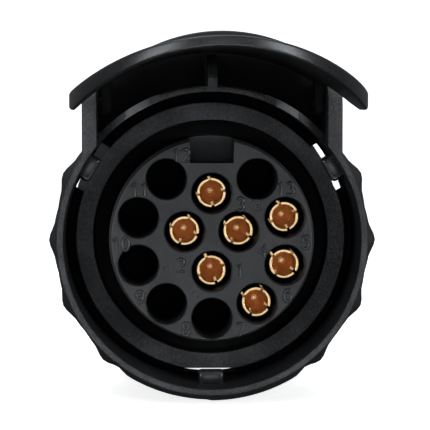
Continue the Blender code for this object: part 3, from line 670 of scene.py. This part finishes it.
DIGIT_UNITS = 1.6                       # height of a digit in DIGITS
DIGIT_ADVANCE = 1.28                    # from one digit to the next, in the same units
PRINTED_AT = {                          # middle of each number on the face, x and z in mm
    1: (5.25, -5.9), 2: (-5.8, -4.8), 3: (5.45, 6.65), 4: (9.6, -2.1), 5: (17.65, -0.55),
    6: (14.3, -10.5), 7: (5.45, -17.0), 8: (-4.85, -16.85), 9: (-13.55, -10.85), 10: (-17.1, -0.8),
    11: (-13.6, 9.45), 12: (-5.8, 15.85), 13: (13.9, 9.55),
}


def sweep(name, paths, radius, sides=8):
    """Round strokes along flat paths, standing in the plane of the contact face."""
    curve = bpy.data.curves.new(name, "CURVE")
    curve.dimensions = "3D"
    curve.bevel_depth = radius
    curve.bevel_resolution = sides // 2
    curve.use_fill_caps = True
    for path in paths:
        spline = curve.splines.new("POLY")
        spline.points.add(len(path) - 1)
        for point, (x, y, z) in zip(spline.points, path):
            point.co = (x, y, z, 1.0)
    source = new_object(name, curve)
    mesh = bpy.data.meshes.new_from_object(source)
    bpy.data.objects.remove(source, do_unlink=True)
    made = new_object(name, mesh)
    smooth(made, 60)
    return made


def make_numerals():
    """Contact numbers moulded on the carrier face."""
    unit = DIGIT_HEIGHT / DIGIT_UNITS
    front = RIM + ISLAND_FRONT
    paths = []
    for number, (at_x, at_z) in PRINTED_AT.items():
        text = str(number)
        advance = DIGIT_ADVANCE * unit
        left = at_x * MM - (advance * (len(text) - 1) + unit) / 2
        for place, digit in enumerate(text):
            for stroke in DIGITS[digit]:
                paths.append([(left + place * advance + a * unit, front - 0.02 * MM,
                               at_z * MM - DIGIT_HEIGHT / 2 + b * unit) for a, b in stroke])
    return sweep("contact_numerals", paths, 0.3 * MM)


def circle_path(x, z, radius, y):
    return [(x * MM + radius * MM * math.cos(math.radians(a)), y,
             z * MM + radius * MM * math.sin(math.radians(a))) for a in range(0, 361, 10)]


def make_face_marks():
    """Ejector-pin circles, a curl at the gate and a nick, on the carrier face."""
    front = RIM + ISLAND_FRONT
    faint = [(0.2, 2.25, 0.95), (-6.9, 6.0, 0.95), (8.1, -6.0, 0.95)]
    strong = [(8.45, 6.4, 1.1), (8.6, 6.2, 0.35)]
    thin, bold = ([circle_path(*mark, front + 0.02 * MM) for mark in marks]
                  for marks in (faint, strong))
    curl = [(x * MM, front, z * MM) for x, z in ((-3.9, -10.7), (-3.5, -9.8), (-2.9, -9.7),
                                                 (-2.5, -10.2), (-2.8, -10.8), (-2.3, -11.0))]
    nick = [(x * MM, front, z * MM) for x, z in ((-9.2, -5.6), (-8.8, -5.1), (-8.3, -4.9))]
    return [sweep("ejector_circles", thin, 0.05 * MM), sweep("ejector_mark", bold, 0.13 * MM),
            sweep("gate_marks", [curl, nick], 0.1 * MM)]


# --- materials ----------------------------------------------------------------
def add_node(material, kind, values=(), **settings):
    made = material.node_tree.nodes.new("ShaderNode" + kind)
    for setting, value in settings.items():
        setattr(made, setting, value)
    for socket, value in dict(values).items():
        made.inputs[socket].default_value = value
    return made


def add_ramp(material, low_at, low, high_at, high):
    made = add_node(material, "ValToRGB")
    for stop, at, colour in zip(made.color_ramp.elements, (low_at, high_at), (low, high)):
        stop.position = at
        stop.color = (*colour, 1.0)
    return made


def link(material, source, output, target, socket):
    material.node_tree.links.new(source.outputs[output], target.inputs[socket])


def plastic(name, colour, tint, rough, rough_spread, grain, grain_height, speckle=0.6,
            specular=0.5):
    """Moulded plastic: grain bump, cloudy colour and roughness, and fine scuffs."""
    made = bpy.data.materials.new(name)
    made.use_nodes = True
    shader = made.node_tree.nodes["Principled BSDF"]
    shader.inputs["Specular IOR Level"].default_value = specular
    shader.inputs["Coat Weight"].default_value = 0.0
    shader.inputs["Coat Roughness"].default_value = 0.18
    where = add_node(made, "TexCoord")

    cloud = add_node(made, "TexNoise", {"Scale": 140.0, "Detail": 5.0})
    link(made, where, "Object", cloud, "Vector")
    colours = add_ramp(made, 0.35, colour, 0.7, tint)
    link(made, colours, "Color", shader, "Base Color")

    fine = add_node(made, "TexNoise", {"Scale": grain, "Detail": 3.0, "Roughness": 0.6})
    link(made, where, "Object", fine, "Vector")
    centred = add_node(made, "Math", {1: 0.5}, operation="SUBTRACT")
    link(made, fine, "Fac", centred, 0)
    speckled = add_node(made, "Math", {1: speckle}, operation="MULTIPLY_ADD")
    link(made, centred, "Value", speckled, 0)
    link(made, cloud, "Fac", speckled, 2)
    link(made, speckled, "Value", colours, "Fac")

    stretch = add_node(made, "Mapping", {"Scale": (90.0, 700.0, 2600.0),
                                         "Rotation": (0.3, 0.5, 0.2)})
    link(made, where, "Object", stretch, "Vector")
    scuff = add_node(made, "TexNoise", {"Scale": 1.0, "Detail": 4.0})
    link(made, stretch, "Vector", scuff, "Vector")
    scuffs = add_node(made, "MapRange", {"From Min": 0.6, "From Max": 0.75, "To Max": 0.1})
    link(made, scuff, "Fac", scuffs, "Value")
    spread = add_node(made, "MapRange", {"From Min": 0.3, "From Max": 0.7,
                                         "To Min": rough - rough_spread,
                                         "To Max": rough + rough_spread})
    link(made, fine, "Fac", spread, "Value")
    total = add_node(made, "Math", operation="ADD", use_clamp=True)
    link(made, spread, "Result", total, 0)
    link(made, scuffs, "Result", total, 1)
    link(made, total, "Value", shader, "Roughness")

    bump = add_node(made, "Bump", {"Strength": 1.0, "Distance": grain_height * MM})
    link(made, fine, "Fac", bump, "Height")
    link(made, bump, "Normal", shader, "Normal")
    return made


def metal(name, colour, tint, rough, grain=900.0, height=0.004):
    """Turned metal: cloudy tarnish, fine turning lines and a little bump."""
    made = bpy.data.materials.new(name)
    made.use_nodes = True
    shader = made.node_tree.nodes["Principled BSDF"]
    shader.inputs["Metallic"].default_value = 1.0
    where = add_node(made, "TexCoord")
    cloud = add_node(made, "TexNoise", {"Scale": grain, "Detail": 4.0})
    link(made, where, "Object", cloud, "Vector")
    colours = add_ramp(made, 0.3, tint, 0.62, colour)
    link(made, cloud, "Fac", colours, "Fac")
    link(made, colours, "Color", shader, "Base Color")
    lines = add_node(made, "TexWave", {"Scale": 2200.0, "Distortion": 3.0}, bands_direction="Y")
    link(made, where, "Object", lines, "Vector")
    spread = add_node(made, "MapRange", {"To Min": rough - 0.06, "To Max": rough + 0.08})
    link(made, lines, "Fac", spread, "Value")
    link(made, spread, "Result", shader, "Roughness")
    bump = add_node(made, "Bump", {"Strength": 0.6, "Distance": height * MM})
    link(made, lines, "Fac", bump, "Height")
    link(made, bump, "Normal", shader, "Normal")
    return made


TEXTURED = plastic("black_plastic_textured", (0.0090, 0.0094, 0.0106), (0.0430, 0.0440, 0.0480),
                   0.58, 0.18, 3000.0, 0.16, 1.9)
SATIN = plastic("black_plastic_satin", (0.0100, 0.0106, 0.0120), (0.0190, 0.0197, 0.0218),
                0.42, 0.08, 2800.0, 0.035, 1.0)
# Near-black coat with little sheen, put on surfaces that lie in shade: painted shade.
PAINTED_SHADE = plastic("black_plastic_painted_shade", (0.0030, 0.0031, 0.0034), (0.0050, 0.0051, 0.0055),
               0.80, 0.08, 2800.0, 0.030, 0.8, specular=0.12)
# Lighter copy of the textured plastic for the centre rib: painted light where the lid shades it.
RIB_PAINTED_LIGHT = plastic("black_plastic_rib_painted_light", (0.0300, 0.0320, 0.0350), (0.0700, 0.0730, 0.0780),
              0.60, 0.15, 3000.0, 0.12, 1.5)
GLOSS = plastic("black_plastic_gloss", (0.0100, 0.0105, 0.0118), (0.0145, 0.0150, 0.0165),
                0.24, 0.04, 1800.0, 0.008)
LID = plastic("lid_plastic", (0.0115, 0.0122, 0.0136), (0.0175, 0.0183, 0.0200),
              0.33, 0.07, 3000.0, 0.020, 0.9)
CARRIER = plastic("carrier_plastic", (0.0100, 0.0108, 0.0124), (0.0250, 0.0264, 0.0290),
                  0.48, 0.11, 2900.0, 0.06, 1.3)
MARKS = plastic("carrier_raised_marks", (0.0120, 0.0132, 0.0150), (0.0240, 0.0260, 0.0290),
                0.34, 0.07, 3300.0, 0.020)
BRASS = metal("brass", (0.95, 0.69, 0.36), (0.84, 0.56, 0.26), 0.22)
# Darker, redder brass for inside the bores: painted shade of the deep bore, with a coarser turned
# grain.
BORE_PAINTED_SHADE = metal("brass_bore_painted_shade", (0.86, 0.56, 0.33), (0.66, 0.40, 0.21), 0.25, 700.0, 0.02)
STEEL = metal("steel", (0.62, 0.62, 0.63), (0.45, 0.45, 0.47), 0.3)
RUBBER = plastic("rubber", (0.009, 0.009, 0.009), (0.015, 0.015, 0.015), 0.75, 0.08, 2500.0, 0.03)
WIRES = {
    1: ((0.55, 0.42, 0.02), (0.62, 0.48, 0.04)), 2: ((0.02, 0.08, 0.45), (0.03, 0.10, 0.52)),
    3: ((0.70, 0.70, 0.68), (0.80, 0.80, 0.78)), 4: ((0.02, 0.30, 0.06), (0.03, 0.36, 0.08)),
    5: ((0.14, 0.06, 0.02), (0.18, 0.08, 0.03)), 6: ((0.45, 0.02, 0.02), (0.52, 0.03, 0.03)),
    7: ((0.015, 0.015, 0.015), (0.02, 0.02, 0.02)),
}


def wear(made, *coats):
    made.data.materials.clear()
    for coat in coats:
        made.data.materials.append(coat)


def recoat(node, coat):
    """Give a carried-over CAD node a finished material."""
    for place in frame["nodes"][node].material_slots:
        place.material = coat


# --- put the pieces on their bodies -------------------------------------------
def stand_for(piece, node, body):
    """Put a piece on its body, in place of a CAD node if one is named."""
    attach(piece, body)
    if node:
        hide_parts(node)


def coat_faces(made, coats, choose):
    """Give every face one of the coats; the first is for faces choose() leaves alone."""
    wear(made, *coats)
    for face in made.data.polygons:
        face.material_index = coats.index(choose(face) or coats[0])


def shell_coat(face):
    x, y, z = face.center
    radius = math.hypot(x, z)
    depth = y - RIM
    on_hood = abs(depth - HOOD_FRONT) < 0.4 * MM and face.normal.y < -0.5 and z > 16 * MM
    if on_hood and radius > COLLAR_R - 0.6 * MM:
        return PAINTED_SHADE                                   # inside of the hood: painted shade, where the lid shades it
    # centre rib: the lighter coat, painted light
    if abs(x) < RIB_HALF + 0.02 * MM and z > COLLAR_R and depth < 14.0 * MM:
        return RIB_PAINTED_LIGHT
    if z > 14 * MM and radius > COLLAR_R - 0.6 * MM and abs(x) < EAR_OUT + 0.2 * MM:
        return TEXTURED                               # ears and the band between them
    if depth < 0.9 * MM:
        return TEXTURED                               # front rim
    if RING_IN - 0.1 * MM < radius < RING_OUT + 0.1 * MM and depth < RING_FRONT + 0.3 * MM:
        return TEXTURED                               # front face of the sleeve ring
    if 24 * MM < radius < MOUTH_R - 0.05 * MM and (
            LUG_FRONT - 0.2 * MM < depth < LUG_BACK + 0.2 * MM):
        return GLOSS                                  # bayonet lugs
    if radius < MOUTH_R + 0.1 * MM and 13.6 * MM < depth < FLOOR_BACK:
        return PAINTED_SHADE                                   # bottom of the trench: painted shade, near-black
    return None


def lid_coat(face):
    x, y, z = face.center
    return PAINTED_SHADE if z < 29.6 * MM and abs(x) < EAR_IN and y > 0 else None      # hinge arms: painted shade under the lid


def carrier_coat(face):
    """Painted shade: near-black matt plastic in the depths of the wells and at the back, but not
    in the key slot.
    """
    x, y, z = face.center
    in_key = abs(x) < KEY_HALF + 0.15 * MM and z > 14 * MM
    return PAINTED_SHADE if y > RIM + ISLAND_FRONT + 9 * MM and not in_key else None


# Inside each bore the brass is darker and redder: painted shade.
def bore_coat(number):
    def choose(face):
        x, y, z = face.center
        inside = math.hypot(x - WELLS[number][0], z - WELLS[number][1]) < 2.33 * MM
        return BORE_PAINTED_SHADE if inside and y > RIM + 8.5 * MM else None
    return choose


shell = make_shell()
smooth(shell)
coat_faces(shell, (SATIN, TEXTURED, GLOSS, PAINTED_SHADE, RIB_PAINTED_LIGHT), shell_coat)
stand_for(shell, "socket_shell", BODY)

lid = make_lid()
smooth(lid, 38)
coat_faces(lid, (LID, PAINTED_SHADE), lid_coat)
stand_for(lid, "lid", "lid")

carrier = make_carrier()
smooth(carrier)
coat_faces(carrier, (CARRIER, PAINTED_SHADE), carrier_coat)
stand_for(carrier, "socket_insert", BODY)
for piece in [make_numerals()] + make_face_marks():
    wear(piece, MARKS)
    stand_for(piece, None, BODY)

for number in FITTED:
    contact = make_contact(number)
    smooth(contact)
    coat_faces(contact, (BRASS, BORE_PAINTED_SHADE), bore_coat(number))
    stand_for(contact, "socket_contact_%d" % number, BODY)
    recoat("plug_pin_%d" % number, BRASS)
    recoat("link_wire_%d" % number,
           plastic("wire_%d" % number, *WIRES[number], 0.4, 0.05, 1500.0, 0.01))
# The hinge pins take the near-black coat: painted shade, as they sit in the shade under the lid.
for node, coat in (("hinge_pin_left", PAINTED_SHADE), ("hinge_pin_right", PAINTED_SHADE),
                   ("contact_clamp_plate", CARRIER), ("pin_clamp_plate", CARRIER),
                   ("insert_seal", RUBBER), ("housing_seal", RUBBER), ("plug_housing", SATIN),
                   ("plug_insert", CARRIER), ("housing_screw_1", STEEL),
                   ("housing_screw_2", STEEL), ("housing_screw_3", STEEL)):
    recoat(node, coat)


# --- floor, light and camera --------------------------------------------------
FLOOR = cad_bounds[0][2] - 0.2 * MM
FLOOR_HALF = 3.0                        # the stage is in metres
BEND_Y = 0.7
BEND_R = 0.6
SENSOR = 36.0
FOCAL_WIDTHS = 2160 / 430               # focal length, in widths of the picture
TONE = (0.93, 0.97, 1.0)                # slightly cool studio light
LIGHTS = (                              # name, place, width, height, watts; all face the socket
    ("front", (0.02, -0.86, -0.04), 0.34, 0.26, 0.48),
    ("side_left", (-0.62, -0.62, -0.02), 0.35, 0.45, 3.9),
    ("side_right", (0.62, -0.58, 0.05), 0.30, 0.40, 4.2),
    ("low", (0.0, -0.55, -0.42), 0.90, 0.10, 2.2),
    ("key", (-0.20, -0.46, 0.46), 0.40, 0.25, 1.0),
    ("top", (0.0, 0.10, 0.75), 0.9, 0.5, 3.5),
)


def make_backdrop():
    """A pale floor that curves up into a back wall."""
    profile = [(-FLOOR_HALF, FLOOR), (BEND_Y, FLOOR)]
    for degrees in range(6, 91, 6):
        angle = math.radians(degrees)
        profile.append((BEND_Y + BEND_R * math.sin(angle),
                        FLOOR + BEND_R * (1 - math.cos(angle))))
    profile.append((BEND_Y + BEND_R, FLOOR + 3.0))
    work = bmesh.new()
    rows = [[work.verts.new((x, y, z)) for y, z in profile] for x in (-FLOOR_HALF, FLOOR_HALF)]
    for index in range(len(profile) - 1):
        work.faces.new((rows[0][index], rows[1][index], rows[1][index + 1], rows[0][index + 1]))
    backdrop = from_bmesh("backdrop", work)
    coat = plastic("studio_paper", (0.94, 0.94, 0.94), (0.97, 0.97, 0.97), 0.8, 0.03, 30.0, 0.0)
    wear(backdrop, coat)
    smooth(backdrop)
    shader = coat.node_tree.nodes["Principled BSDF"]
    shader.inputs["Emission Color"].default_value = (1.0, 1.0, 1.0, 1.0)
    shader.inputs["Emission Strength"].default_value = 0.8
    backdrop.visible_diffuse = False
    backdrop.visible_glossy = False


def aim(place, target):
    return (Vector(target) - Vector(place)).to_track_quat("-Z", "Y").to_euler()


def area_light(name, at, width, height, power):
    light = bpy.data.lights.new(name, "AREA")
    light.shape = "RECTANGLE"
    light.size = width
    light.size_y = height
    light.energy = power
    light.color = TONE
    made = bpy.data.objects.new(name, light)
    made.location = at
    made.rotation_euler = aim(at, (0, 0, 0))
    bpy.context.scene.collection.objects.link(made)


def make_world():
    """Soft surround, darker below and paler overhead."""
    world = bpy.data.worlds.new("studio")
    bpy.context.scene.world = world
    world.use_nodes = True
    sky = world.node_tree.nodes["Background"]
    sky.inputs["Strength"].default_value = 1.0
    around = add_node(world, "TexCoord")
    split = add_node(world, "SeparateXYZ")
    shade = add_ramp(world, 0.30, (0.06, 0.06, 0.06), 0.95, (0.30, 0.30, 0.31))
    lift = add_node(world, "MapRange", {"From Min": -1.0})
    link(world, around, "Generated", split, "Vector")
    link(world, split, "Z", lift, "Value")
    link(world, lift, "Result", shade, "Fac")
    link(world, shade, "Color", sky, "Color")


def make_camera():
    lens = bpy.data.cameras.new("camera")
    lens.sensor_width = SENSOR
    lens.lens = SENSOR * FOCAL_WIDTHS
    lens.clip_start = 0.01
    camera = bpy.data.objects.new("camera", lens)
    camera.location = (-0.0116, -0.4045, 0.0277)
    camera.rotation_euler = aim(camera.location, (0.00046, RIM, 0.0049))
    bpy.context.scene.collection.objects.link(camera)
    bpy.context.scene.camera = camera


make_backdrop()
make_world()
for row in LIGHTS:
    area_light(*row)
make_camera()
bpy.context.scene.view_settings.view_transform = "Standard"
